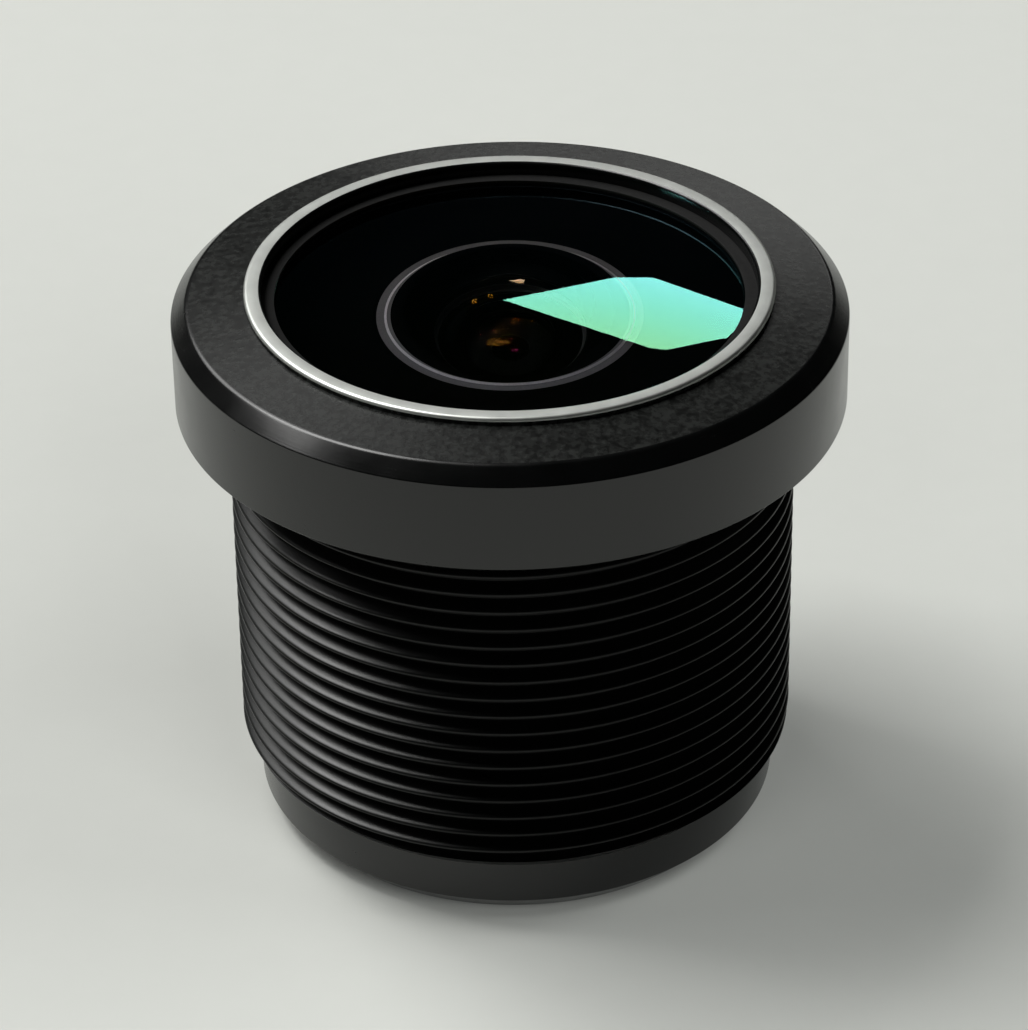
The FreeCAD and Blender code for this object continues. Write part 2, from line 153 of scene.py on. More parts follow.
class LensFinishes(bpy.types.PropertyGroup):
    """Colours and roughnesses of the lens."""

    anodised: colour("Anodised black", "Colour of the black anodised metal", (0.0016, 0.0018, 0.0018))
    blasted: colour("Blasted black", "Colour of the blasted top", (0.014, 0.015, 0.0142))
    lip: colour("Bright lip", "Colour of the turned lip's metal", (0.72, 0.74, 0.71))
    film: colour("Black film", "Colour of the stop and the rear mask", (0.001, 0.001, 0.001))
    grey_film: colour("Grey film", "Colour of the slip ring", (0.02, 0.02, 0.02))
    # This grey is far lighter than the black anodising. It is painted light, standing in for the light that
    # reaches the web's bore and the mask behind it through the glasses.
    web_wall: colour("Web wall", "Colour of the web's hole and of the mask behind it", (0.1, 0.1, 0.1))
    rubber: colour("Seal rubber", "Colour of the O-ring", (0.008, 0.008, 0.008))
    outer_index: FloatProperty(name="Outer glass index", description="Index of the outer glass", default=1.7,
                               min=1.0, max=2.5)
    coating: nanometres("Coating", "Thickness of the outer glass's teal coating", 436.0)
    inner_coating: nanometres("Inner coating", "Thickness of the coating on the hollow and the filter", 160.0)
    stack_coating: nanometres("Stack coating", "Thickness of the coating on the inner glasses", 118.0)
    filter_film: nanometres("Filter film", "Thickness of the filter's rear film", 330.0)
    filter_glass: colour("Filter glass", "Colour of the rear filter's glass", (0.55, 0.9, 0.88))
    glue: colour("Glue", "Colour of the filter's adhesive", (0.55, 0.53, 0.45))
    blast_roughness: share("Blasted roughness", "Roughness of the cap's blasted top", 0.27)
    satin_roughness: share("Satin roughness", "Roughness of the turned black metal", 0.24)
    thread_gloss: share("Thread gloss", "Specular level of the mounting thread", 0.2)


class StageLight(bpy.types.PropertyGroup):
    """Floor, camera and lights."""

    floor: colour("Floor", "Colour of the pale floor", (0.62, 0.63, 0.60))
    ambient: share("Ambient light", "Brightness of the dim light from all round", 0.004)
    left_power: watts("Left light", "Power of the soft light high at the left", 1.75)
    rear_power: watts("Rear light", "Power of the soft light at the rear left", 0.5)
    side_power: watts("Side light", "Power of the small light low at the left", 0.28)
    cap_power: watts("Cap lights", "Power that the cap's own lights take their shares of", 0.12)
    thread_power: watts("Thread lights", "Power that the barrel's own lights take their shares of", 2.4)
    glint_power: watts("Glints", "Power of each small lamp that shows in the glasses", 1.1)
    fill_power: watts("Floor fill", "Power that the floor's own lights take their shares of", 1.5)
    window_strength: FloatProperty(name="Window", description="Brightness of the window in the outer glass",
                                   default=8.2, min=0.0)
    focal: FloatProperty(name="Focal length", description="Focal length of the camera", default=157.53,
                         min=1.0, subtype="DISTANCE_CAMERA")


# Shader maths


def plug(tree, socket, value):
    """Give a socket its value or its link."""
    if isinstance(value, Signal):
        tree.links.new(value.socket, socket)
    else:
        socket.default_value = value


class Signal:
    """One output socket of a material. Arithmetic on it adds Math nodes."""

    def __init__(self, tree, socket):
        self.tree = tree
        self.socket = socket

    def node(self, kind, settings=None, values=None, out=0):
        """Any node: its settings first, then the values or links of its sockets."""
        made = self.tree.nodes.new(kind)
        for name, value in (settings or {}).items():
            if name == "stops":
                for place, level in value[2:]:
                    made.color_ramp.elements.new(place).color = (level, level, level, 1)
                for element, (place, level) in zip(made.color_ramp.elements, sorted(value)):
                    element.position, element.color = place, (level, level, level, 1)
            else:
                setattr(made, name, value)
        for name, value in (values or {}).items():
            plug(self.tree, made.inputs[name], value)
        return Signal(self.tree, made.outputs[out])

    def math(self, operation, *values):
        return self.node("ShaderNodeMath", {"operation": operation}, dict(enumerate(values)))

    def vector(self, operation, *values):
        return self.node("ShaderNodeVectorMath", {"operation": operation}, dict(enumerate(values)))

    def noise(self, scale, detail=2.0, roughness=0.5):
        """Noise over this point, from 0 to 1."""
        values = {"Vector": self, "Scale": scale, "Detail": detail, "Roughness": roughness}
        return self.node("ShaderNodeTexNoise", {"normalize": True}, values)

    def ramp(self, *stops):
        """This value put through a grey ramp of (place, level) stops."""
        return self.node("ShaderNodeValToRGB", {"stops": stops}, {"Fac": self})

    def blend(self, first, second):
        """first where this value is 0, second where it is 1, both colours."""
        values = {0: self, 6: (*first, 1), 7: (*second, 1)}
        return self.node("ShaderNodeMix", {"data_type": "RGBA"}, values, 2)

    def parts(self):
        """The x, y and z of this vector."""
        split = self.node("ShaderNodeSeparateXYZ", values={"Vector": self}).socket.node
        return [Signal(self.tree, socket) for socket in split.outputs]

    def root(self):
        return self.math("SQRT", self)

    def swing(self, width):
        """This value spread evenly about 0, over this width."""
        return (self - 0.5) * width

    def bump(self, height, strength=1.0):
        """A normal bent by this value, which is 1 where the surface stands height proud, in metres."""
        return self.node("ShaderNodeBump", values={"Height": self, "Distance": height, "Strength": strength})

    def __add__(self, other):
        return self.math("ADD", self, other)

    def __sub__(self, other):
        return self.math("SUBTRACT", self, other)

    def __rsub__(self, other):
        return self.math("SUBTRACT", other, self)

    def __mul__(self, other):
        return self.math("MULTIPLY", self, other)

    __radd__ = __add__
    __rmul__ = __mul__


def millimetres(point):
    """A point in metres, counted in millimetres."""
    return point.vector("MULTIPLY", point, (1 / MM,) * 3)


def feed(material, **signals):
    """Link signals to the Principled shader's sockets."""
    shader = material.node_tree.nodes["Principled BSDF"]
    for socket, signal in signals.items():
        plug(material.node_tree, shader.inputs[socket.replace("_", " ")], signal)


def new_finish(name, **uniform):
    """A new Principled material with these uniform values, and the shaded point in millimetres."""
    material = bpy.data.materials.new(name)
    material.use_nodes = True
    shader = material.node_tree.nodes["Principled BSDF"]
    for socket, value in uniform.items():
        value = (*value, 1) if hasattr(value, "__len__") else value
        shader.inputs[socket.replace("_", " ")].default_value = value
    places = material.node_tree.nodes.new("ShaderNodeTexCoord")
    return material, millimetres(Signal(material.node_tree, places.outputs["Object"]))


def scaled(tint, factor):
    """A colour made darker or lighter by one factor."""
    return [level * factor for level in tint]


def blasted_black(finishes):
    """Black anodised metal, bead blasted to a fine even grain."""
    material, point = new_finish("blasted_black", Specular_IOR_Level=0.22)
    fine = point.noise(scale=6.0)
    coarse = point.noise(scale=2.0, detail=3.0)
    grain = (fine * 0.7 + coarse * 0.3).ramp((0.36, 0.0), (0.64, 1.0))
    feed(material,
         Base_Color=grain.blend(scaled(finishes.blasted, 0.3), scaled(finishes.blasted, 1.7)),
         Roughness=finishes.blast_roughness + coarse.swing(0.04) + fine.swing(0.05),
         Normal=fine.bump(0.004 * MM))
    return material


def turning_marks(point, fineness):
    """Noise in fine rings round the axis, as a lathe leaves them."""
    x, y, z = point.parts()
    out = (x * x + y * y).root()
    ring = point.node("ShaderNodeCombineXYZ", values={0: out * fineness, 1: z * fineness, 2: 0.0})
    return ring.noise(scale=1.0, detail=3.0, roughness=0.6)


def turned_black(finishes, name, lines, gloss=0.5, dull=0.0):
    """Black anodised metal, its turning marks this strong. dull is added to its roughness."""
    material, point = new_finish(name, Specular_IOR_Level=gloss)
    marks = turning_marks(point, 30.0)
    grain = point.noise(scale=22.0)
    haze = point.noise(scale=1.1, detail=3.0)
    feed(material,
         Base_Color=haze.blend(finishes.anodised, scaled(finishes.anodised, 1.8)),
         Roughness=finishes.satin_roughness + dull + haze.swing(0.12) + grain.swing(0.06),
         Normal=(marks * lines + grain * 0.5).bump(0.0025 * MM, 0.6))
    return material


def bright_lip(finishes):
    """The turned lip, cut through the black to bright metal."""
    material, point = new_finish("bright_lip", Metallic=1.0)
    marks = turning_marks(point, 60.0)
    patches = point.noise(scale=2.0, detail=3.0)
    feed(material,
         Base_Color=patches.blend(scaled(finishes.lip, 0.8), finishes.lip),
         Roughness=0.45 + patches.swing(0.1),
         Normal=marks.bump(0.001 * MM, 0.5))
    return material


def coated_glass(name, index, film_index, film_nanometres, clear=(1.0, 1.0, 1.0)):
    """Polished glass under a thin film, which gives its reflections their colour."""
    material, point = new_finish(name, Base_Color=clear, Roughness=0.0, IOR=index, Transmission_Weight=1.0,
                                 Thin_Film_IOR=film_index, Thin_Film_Thickness=film_nanometres)
    feed(material, Normal=point.noise(scale=0.6).bump(0.00004 * MM))
    return material


def mottled(name, scale, dark, light, roughness, swing, relief, **uniform):
    """A finish whose colour, roughness and surface follow one mottle, its relief in millimetres."""
    material, point = new_finish(name, **uniform)
    mottle = point.noise(scale, detail=3.0)
    feed(material,
         Base_Color=mottle.blend(dark, light),
         Roughness=roughness + mottle.swing(swing),
         Normal=mottle.bump(relief * MM, 0.5))
    return material


def edge_paint():
    """The black paint on a glass's edge and on the flat round its polished faces."""
    return mottled("edge_paint", 6.0, (0.0015, 0.0015, 0.0017), (0.003, 0.003, 0.0035),
                   roughness=0.75, swing=0.2, relief=0.003, Specular_IOR_Level=0.0)


def ground_glass(name, level):
    """Bare ground glass round a polished face, this light in colour."""
    return mottled(name, 20.0, (level * 0.8,) * 3, (level * 1.3,) * 3,
                   roughness=0.6, swing=0.2, relief=0.002, Specular_IOR_Level=0.1)


def soft_black(name, tint, roughness):
    """A matt black film or rubber with a faint mottle."""
    return mottled(name, 9.0, scaled(tint, 0.7), scaled(tint, 1.3),
                   roughness=roughness, swing=0.15, relief=0.003, Specular_IOR_Level=0.1)


def clear_glue(finishes):
    """Clear adhesive, slightly yellow, with a glossy skin."""
    return mottled("clear_glue", 1.5, scaled(finishes.glue, 0.8), finishes.glue,
                   roughness=0.15, swing=0.1, relief=0.01, Transmission_Weight=0.6, IOR=1.5)


# Meshes


def arc(centre, start, end, steps):
    """Points round a centre, the short way from start to end."""
    turn_from = math.atan2(start.y - centre.y, start.x - centre.x)
    turn_to = math.atan2(end.y - centre.y, end.x - centre.x)
    turn = (turn_to - turn_from + math.pi) % FULL_TURN - math.pi
    radius = (start - centre).length
    angles = [turn_from + turn * step / steps for step in range(steps + 1)]
    return [centre + radius * Vector((math.cos(angle), math.sin(angle))) for angle in angles]


def rounded(corners, steps=5):
    """A run of points in metres through corners of (radius, height, rounding)."""
    points = []
    for index, (radius, height, rounding) in enumerate(corners):
        here = Vector((radius, height))
        if rounding <= 0 or index in (0, len(corners) - 1):
            points.append(here)
            continue
        back = (Vector(corners[index - 1][:2]) - here).normalized()
        ahead = (Vector(corners[index + 1][:2]) - here).normalized()
        half = back.angle(ahead) / 2
        centre = here + (back + ahead).normalized() * (rounding / math.sin(half))
        reach = rounding / math.tan(half)
        points += arc(centre, here + back * reach, here + ahead * reach, steps)
    return points


def dome(top, edge_radius, edge_height, steps):
    """Points of a spherical surface from its top on the axis to its edge."""
    rise = top - edge_height
    ball = (edge_radius ** 2 + rise ** 2) / (2 * rise)
    centre = Vector((0.0, top - ball))
    return arc(centre, Vector((0.0, top)), Vector((edge_radius, edge_height)), steps)


def vertex(mesh, radius, angle, height):
    """A new vertex at this radius from the axis."""
    return mesh.verts.new((radius * math.cos(angle), radius * math.sin(angle), height))


def ring_of(mesh, radius, height, segments):
    """One ring of vertices round the axis."""
    return [vertex(mesh, radius, FULL_TURN * side / segments, height) for side in range(segments)]


def skin(mesh, lower, upper, finish):
    """Faces between two rings, either of which may be a single point."""
    sides = max(len(lower), len(upper))
    for side in range(sides):
        following = (side + 1) % sides
        if len(lower) == 1:
            corners = (lower[0], upper[following], upper[side])
        elif len(upper) == 1:
            corners = (lower[side], lower[following], upper[0])
        else:
            corners = (lower[side], lower[following], upper[following], upper[side])
        mesh.faces.new(corners).material_index = finish


def finish_mesh(name, mesh, materials, sharp=SHARP_ANGLE):
    """The object of a finished mesh, shaded smooth up to its corners and the ends of its finishes."""
    bmesh.ops.recalc_face_normals(mesh, faces=mesh.faces)
    for face in mesh.faces:
        face.smooth = True
    for edge in mesh.edges:
        finishes = {face.material_index for face in edge.link_faces}
        edge.smooth = len(finishes) == 1 and edge.calc_face_angle(0.0) < math.radians(sharp)
    data = bpy.data.meshes.new(name)
    mesh.to_mesh(data)
    mesh.free()
    for material in materials:
        data.materials.append(material)
    piece = bpy.data.objects.new(name, data)
    bpy.context.scene.collection.objects.link(piece)
    even = piece.modifiers.new("even_shading", "WEIGHTED_NORMAL")
    even.keep_sharp = True
    return piece


def turned(name, runs, materials, segments):
    """A turned piece. Each run is (finish number, points), and each starts where the last one ended."""
    mesh = bmesh.new()
    rings, finishes = [], []
    for finish, points in runs:
        for place, point in enumerate(points):
            if rings and place == 0:
                continue
            if rings:
                finishes.append(finish)
            if point.x < NEAR:
                rings.append([mesh.verts.new((0, 0, point.y))])
            else:
                rings.append(ring_of(mesh, point.x, point.y, segments))
    for finish, lower, upper in zip(finishes, rings, rings[1:]):
        skin(mesh, lower, upper, finish)
    bmesh.ops.remove_doubles(mesh, verts=mesh.verts, dist=NEAR)
    return finish_mesh(name, mesh, materials)


def dress(piece, body, slot, *nodes):
    """Put a piece on its body in place of its CAD nodes."""
    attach(piece, body)
    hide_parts(*nodes)


def wear(node, material, sharp=SHARP_ANGLE):
    """Give a CAD node its finish and smooth shading."""
    piece = frame["nodes"][node]
    piece.data.materials.clear()
    piece.data.materials.append(material)
    piece.data.shade_smooth()
    piece.data.set_sharp_from_angle(angle=math.radians(sharp))


# Threaded barrel


def soft_least(first, second, width):
    """The smaller of two values, with a rounding where they cross."""
    mix = max(0.0, min(1.0, 0.5 + (second - first) / (2 * width)))
    return second + (first - second) * mix - width * mix * (1 - mix)


class ThreadForm:
    """The barrel's outside: its blank and the groove that winds up it."""

    root_rounding = 0.022 * MM
    crest_rounding = 0.05 * MM
    flank = 1 / math.tan(math.radians(30))
    stations = (0.0, 0.06, 0.1, 0.16, 0.25, 0.32, 0.37, 0.41, 0.44, 0.47)

    def __init__(self, sizes):
        self.sizes = sizes
        self.crest, _, self.front = span("barrel")
        self.root = self.crest - sizes.thread_depth

    def radius(self, angle, height):
        sizes = self.sizes
        turns = (height - sizes.thread_begin) / sizes.thread_pitch - angle / FULL_TURN
        off = abs((turns + 0.5) % 1 - 0.5) * sizes.thread_pitch
        groove = self.root + (off - sizes.root_flat / 2) * self.flank
        groove = -soft_least(-groove, -self.root, self.root_rounding)
        groove = soft_least(groove, self.crest, self.crest_rounding)
        climb = sizes.band_radius + height - sizes.band_height
        fall = self.crest + self.front - sizes.front_chamfer - height
        return min(groove, max(climb, sizes.band_radius), fall)

    def rows(self):
        """Heights of the mesh's rows where they pass +X, from below the band's edge to the front."""
        pitch = self.sizes.thread_pitch
        stations = self.stations + (0.5,) + tuple(1 - place for place in reversed(self.stations[1:]))
        first = int((self.sizes.band_height - self.sizes.thread_begin) / pitch) - 1
        last = int((self.front - self.sizes.thread_begin) / pitch) + 1
        return [self.sizes.thread_begin + (turn + place) * pitch
                for turn in range(first, last) for place in stations]


class LENS_OT_barrel(bpy.types.Operator):
    """Make the threaded barrel with its rear band, bores and web"""

    bl_idname = "lens.barrel"
    bl_label = "Threaded barrel"

    body, web, thread = range(3)

    def execute(self, context):
        sizes, finishes = context.scene.lens_sizes, context.scene.lens_finishes
        form = ThreadForm(sizes)
        segments = sizes.segments
        mesh = bmesh.new()
        low, high = sizes.band_height, form.front
        angles = [FULL_TURN * side / segments for side in range(segments + 1)]
        rows = []
        for start in form.rows():
            row = []
            for angle in angles:
                height = min(max(start + sizes.thread_pitch * angle / FULL_TURN, low), high)
                row.append(vertex(mesh, form.radius(angle, height), angle, height))
            rows.append(row)
        for lower, upper in zip(rows, rows[1:]):
            for side in range(segments):
                corners = lower[side], lower[side + 1], upper[side + 1], upper[side]
                mesh.faces.new(corners).material_index = self.thread
        top = [vertex(mesh, form.radius(angle, high), angle, high) for angle in angles[:-1]]
        _, seat, _ = span("front_element")
        chamfer, soft = sizes.rear_chamfer, 0.04 * MM
        inside = rounded([
            (sizes.front_bore, high, 0.0),
            (sizes.front_bore, seat, 0.0),
            (sizes.seal_outer, seat, 0.02 * MM),
            (sizes.seal_outer, sizes.seal_floor, 0.0),
            (sizes.seal_inner, sizes.seal_floor, 0.0),
            (sizes.seal_inner, seat, 0.02 * MM),
            (sizes.web_hole, seat, 0.08 * MM),
            (sizes.web_hole, sizes.web_rear, soft),
            (sizes.rear_bore, sizes.web_rear, 0.0),
            (sizes.rear_bore, sizes.recess_depth, soft),
            (sizes.recess_radius, sizes.recess_depth, 0.0),
            (sizes.recess_radius, 0.0, soft),
            (sizes.band_radius - chamfer, 0.0, soft),
            (sizes.band_radius, chamfer, soft),
            (sizes.band_radius, low, 0.0),
        ])
        previous, radius = top, 0.0
        for point in inside:
            ring = ring_of(mesh, point.x, point.y, segments)
            in_web = max(abs(point.x - sizes.web_hole), abs(radius - sizes.web_hole)) < NEAR
            skin(mesh, previous, ring, self.web if in_web else self.body)
            previous, radius = ring, point.x
        bmesh.ops.remove_doubles(mesh, verts=mesh.verts, dist=NEAR)
        bmesh.ops.dissolve_degenerate(mesh, edges=mesh.edges, dist=NEAR)
        materials = [
            turned_black(finishes, "barrel_black", lines=0.6),
            # The web's bore gets that lighter grey instead of the black metal: painted light for the light
            # that reaches it through the outer glass.
            soft_black("web_wall", finishes.web_wall, roughness=0.6),
            turned_black(finishes, "thread_black", lines=0.6, gloss=finishes.thread_gloss, dull=0.08),
        ]
        piece = finish_mesh("threaded_barrel", mesh, materials, sharp=35.0)
        dress(piece, "barrel", "anodised_black", "barrel")
        return {"FINISHED"}


class LENS_OT_front_cap(bpy.types.Operator):
    """Make the front cap with its blasted top, satin side and bright lip"""

    bl_idname = "lens.front_cap"
    bl_label = "Front cap"

    satin, blasted, bright = range(3)

    def execute(self, context):
        sizes, finishes = context.scene.lens_sizes, context.scene.lens_finishes
        radius, foot, crest = span("head_cap")
        _, _, ceiling = span("glass_slip_ring")
        foot_chamfer, burr = 0.1 * MM, 0.02 * MM
        lip_out = sizes.lip_radius + sizes.lip_width
        lip_side = crest - sizes.lip_round
        side = rounded([
            (sizes.cap_bore, foot + foot_chamfer, 0.0),
            (sizes.cap_bore + foot_chamfer, foot, burr),
            (radius - foot_chamfer, foot, 0.03 * MM),
            (radius, foot + foot_chamfer, 0.03 * MM),
            (radius, sizes.cap_corner - sizes.cap_chamfer, 0.06 * MM),
            (radius - sizes.cap_chamfer, sizes.cap_corner, sizes.cap_rounding),
            (lip_out, sizes.lip_foot, 0.0),
        ], steps=8)
        lip_foot = side.pop()
        top = [side[-1], lip_foot, Vector((lip_out, lip_side))]
        corner_steps, black_steps = 6, 5
        lip = rounded([
            (lip_out, lip_side, 0.0),
            (lip_out, crest, sizes.lip_round * 0.999),
            (sizes.lip_radius, crest, sizes.lip_round),
            (sizes.lip_radius, ceiling, 0.0),
        ], corner_steps)[:-1]
        # The black of the inside starts near the top of the lip's inner corner
        inside = lip[-black_steps - 1:] + rounded([
            (sizes.lip_radius, lip_side, 0.0),
            (sizes.lip_radius, ceiling, burr),
            (sizes.front_bore, ceiling, 0.0),
            (sizes.front_bore, sizes.cap_shoulder, burr),
            (sizes.cap_bore, sizes.cap_shoulder, 0.0),
            (sizes.cap_bore, foot + foot_chamfer, 0.0),
        ])
        metal = lip[:-black_steps]
        runs = [(self.satin, side), (self.blasted, top), (self.bright, metal), (self.satin, inside)]
        materials = [
            turned_black(finishes, "cap_satin", lines=1.0),
            blasted_black(finishes),
            bright_lip(finishes),
        ]
        piece = turned("front_cap", runs, materials, sizes.segments)
        dress(piece, "cap", "anodised_black", "head_cap")
        return {"FINISHED"}


# Glasses and filter

# Indexes of the glasses and of the films on them
OUTER_FILM_INDEX = 1.43
HOLLOW_FILM_INDEX = 1.3
STACK_INDEX, STACK_FILM_INDEX = 1.3, 1.14
FILTER_INDEX, FILTER_FRONT_FILM_INDEX, FILTER_REAR_FILM_INDEX = 1.52, 1.23, 2.0


class LENS_OT_outer_glass(bpy.types.Operator):
    """Make the domed outer glass with its coating and painted edge"""

    bl_idname = "lens.outer_glass"
    bl_label = "Outer glass"

    def execute(self, context):
        sizes, finishes = context.scene.lens_sizes, context.scene.lens_finishes
        radius, rear, top = span("front_element")
        _, land, _ = span("glass_slip_ring")
        rear += 0.008 * MM  # room for the paint between the glass and its seat
        edge_chamfer = 0.1 * MM
        bevel_out = sizes.hollow_radius + sizes.hollow_bevel
        front = dome(top, sizes.dome_radius, land, steps=36)
        edge = rounded([
            (sizes.dome_radius, land, 0.0),
            (radius, land, 0.02 * MM),
            (radius, rear + edge_chamfer, 0.0),
            (radius - edge_chamfer, rear, 0.0),
            (bevel_out + sizes.ground_ring, rear, 0.0),
        ])
        ground = [edge[-1], Vector((bevel_out, rear))]
        bevel = [ground[-1], Vector((sizes.hollow_radius, rear + sizes.hollow_bevel))]
        hollow = list(reversed(dome(sizes.hollow_top, sizes.hollow_radius, bevel[-1].y, steps=30)))
        runs = list(enumerate((front, edge, ground, bevel, hollow)))
        materials = [
            coated_glass("outer_coated_glass", finishes.outer_index, OUTER_FILM_INDEX, finishes.coating),
            edge_paint(),
            ground_glass("ground_ring", level=0.13),
            ground_glass("bevel_line", level=0.6),
            coated_glass("hollow_coated_glass", finishes.outer_index, HOLLOW_FILM_INDEX,
                         finishes.inner_coating),
        ]
        piece = turned("outer_glass", runs, materials, sizes.segments)
        dress(piece, "barrel", "optical_glass", "front_element")
        return {"FINISHED"}


class LENS_OT_slip_ring(bpy.types.Operator):
    """Make the thin ring between the front cap and the outer glass"""

    bl_idname = "lens.slip_ring"
    bl_label = "Slip ring"

    def execute(self, context):
        sizes, finishes = context.scene.lens_sizes, context.scene.lens_finishes
        radius, rear, front = span("glass_slip_ring")
        room_round_dome, hole_rounding = 0.02 * MM, 0.015 * MM
        hole = sizes.dome_radius + room_round_dome
        loop = rounded([
            (radius, rear, 0.0),
            (radius, front, 0.01 * MM),
            (hole, front, hole_rounding),
            (hole, rear, hole_rounding),
            (radius, rear, 0.0),
        ], steps=3)
        film = soft_black("slip_film", finishes.grey_film, roughness=0.5)
        piece = turned("slip_ring_film", [(0, loop)], [film], sizes.segments)
        dress(piece, "slip_ring", "black_film", "glass_slip_ring")
        return {"FINISHED"}


# Inner glasses: node, then edge radius and rise of dome (up is positive), in front and behind, in mm
INNER_GLASSES = (
    ("second_element", 3.103, 0.96, 2.2, 1.31),
    ("third_element", 2.6, 0.5, 2.6, -0.47),
    ("fourth_element", 2.6, 0.38, 2.6, -0.43),
    ("doublet_crown", 2.6, 0.38, 2.9, -0.8),
    ("doublet_flint", 2.9, -0.8, 2.6, 0.2),
)


class LENS_OT_inner_glasses(bpy.types.Operator):
    """Make the glasses of the inner stack"""

    bl_idname = "lens.inner_glasses"
    bl_label = "Inner glasses"

    def execute(self, context):
        sizes, finishes = context.scene.lens_sizes, context.scene.lens_finishes
        materials = [
            coated_glass("inner_coated_glass", STACK_INDEX, STACK_FILM_INDEX, finishes.stack_coating),
            edge_paint(),
        ]
        steps = 20
        for node, front_edge, front_rise, rear_edge, rear_rise in INNER_GLASSES:
            radius, low, high = span(node)
            front_height = high - max(0.0, front_rise) * MM
            rear_height = low - min(0.0, rear_rise) * MM
            front = dome(front_height + front_rise * MM, front_edge * MM, front_height, steps)
            rear = dome(rear_height + rear_rise * MM, rear_edge * MM, rear_height, steps)
            rim = [front[-1], Vector((radius, front_height)), Vector((radius, rear_height)), rear[-1]]
            runs = [(0, front), (1, rim), (0, list(reversed(rear)))]
            piece = turned(f"{node}_glass", runs, materials, sizes.segments // 2)
            dress(piece, "barrel", "optical_glass", node)
        return {"FINISHED"}


class LENS_OT_inner_rings(bpy.types.Operator):
    """Finish the spacers, masks, stop, seal and retainer"""

    bl_idname = "lens.inner_rings"
    bl_label = "Inner rings"

    def execute(self, context):
        finishes = context.scene.lens_finishes
        metal = turned_black(finishes, "spacer_black", lines=1.5)
        film = soft_black("mask_film", finishes.film, roughness=0.6)
        # The front mask gets the same lighter grey: painted light for the light that reaches it through the
        # glasses.
        grey_film = soft_black("front_mask_film", finishes.web_wall, roughness=0.6)
        rubber = soft_black("seal_rubber_black", finishes.rubber, roughness=0.55)
        for node in ("front_spacer", "middle_spacer", "stop_spacer", "fourth_spacer", "rear_retainer"):
            wear(node, metal)
        for node in ("aperture_stop", "rear_light_mask"):
            wear(node, film)
        wear("front_light_mask", grey_film)
        wear("front_o_ring", rubber, sharp=60.0)
        return {"FINISHED"}


class LENS_OT_rear_filter(bpy.types.Operator):
    """Make the rear filter plate and its ring of adhesive"""

    bl_idname = "lens.rear_filter"
    bl_label = "Rear filter"

    def execute(self, context):
        sizes, finishes = context.scene.lens_sizes, context.scene.lens_finishes
        radius, rear, front = span("ir_cut_filter")
        bevel = 0.04 * MM
        face = [Vector((0.0, front)), Vector((radius - bevel, front))]
        plate = rounded([
            (radius - bevel, front, 0.0),
            (radius, front - bevel, 0.0),
            (radius, rear + bevel, 0.0),
            (radius - bevel, rear, 0.0),
            (0.0, rear, 0.0),
        ])
        tint = finishes.filter_glass[:]
        glasses = [
            coated_glass("filter_front_glass", FILTER_INDEX, FILTER_FRONT_FILM_INDEX, finishes.inner_coating,
                         tint),
            coated_glass("filter_coated_glass", FILTER_INDEX, FILTER_REAR_FILM_INDEX, finishes.filter_film,
                         tint),
        ]
        piece = turned("filter_plate", [(0, face), (1, plate)], glasses, sizes.segments)
        dress(piece, "barrel", "filter_glass", "ir_cut_filter")
        outer, foot, crown = span("filter_glue_ring")
        leg, sag = crown - foot, 0.15 * MM
        corner, wall, ledge = Vector((outer, crown)), Vector((outer, foot)), Vector((outer - leg, crown))
        meniscus = arc(Vector((outer - leg - sag, foot - sag)), wall, ledge, steps=8)
        loop = [corner] + meniscus + [corner]
        ring = turned("glue_fillet", [(0, loop)], [clear_glue(finishes)], sizes.segments)
        dress(ring, "barrel", "clear_adhesive", "filter_glue_ring")
        return {"FINISHED"}


# Stage

# Where the camera stands and how it is turned, worked out from the circles of the lens in the picture
CAMERA_PLACE = Vector((0.022, -95.203, 68.613)) * MM
CAMERA_DIP = math.radians(32.60968)
CAMERA_ROLL = -0.0153447
PICTURE_WIDTH, PICTURE_HEIGHT = 1028, 1030
SENSOR_WIDTH = 36.0

# The window's outline as it shows on the outer glass, in pixels of the picture
WINDOW_IN_GLASS = ((503, 300), (615, 277.5), (653, 277.5), (742, 308.5), (739, 322), (725, 338), (667, 349.7),
                   (650, 348))
WINDOW_DISTANCE = 0.5
WINDOW_STEPS = 6

# Every lamp is this far from the point it is aimed at, which is this high on the axis, in metres
LAMP_DISTANCE = 0.5
AIM_HEIGHT = 0.008

# Colours of the lamps and of the ambient light
WARM, COOL = (1.0, 1.0, 0.98), (0.98, 1.0, 0.99)
AMBIENT_TINT = (0.95, 1.0, 1.0, 1)

# How far the floor reaches on each side, in metres
FLOOR_REACH = 1.5

# Main lights, which light all but the glasses: name, azimuth, elevation, width and height in metres
MAIN_LIGHTS = (("left", -65, 60, 0.24, 0.24), ("rear", -42, 41, 0.2, 0.22), ("side", -86, 42, 0.2, 0.1))

# Lights that reach the barrel, the glasses, the cap or the floor alone: azimuth, elevation and share
THREAD_LIGHTS = ((-72, 55, 1.0), (-46, 42, 0.22))
GLINTS = ((-65, 60, 1.0), (-84, 36, 1.0))
CAP_LIGHTS = ((7, 22, 0.75), (-20, 42, 1.3))
FLOOR_FILLS = ((-150, 35, 0.22), (150, 35, 0.48), (90, 50, 0.42))


def camera_axes():
    """The camera's right, up and forward directions."""
    dip, roll = CAMERA_DIP, CAMERA_ROLL
    right, down = Vector((1, 0, 0)), Vector((0, -math.sin(dip), -math.cos(dip)))
    turned_right = math.cos(roll) * right - math.sin(roll) * down
    turned_down = math.sin(roll) * right + math.cos(roll) * down
    return turned_right, -turned_down, Vector((0, math.cos(dip), -math.sin(dip)))


def sight(pixel, focal):
    """The direction from the camera through a pixel of the picture."""
    right, up, forward = camera_axes()
    scale = SENSOR_WIDTH / (focal * PICTURE_HEIGHT)
    across = (pixel[0] - PICTURE_WIDTH / 2) * scale
    rise = (PICTURE_HEIGHT / 2 - pixel[1]) * scale
    return (forward + across * right + rise * up).normalized()


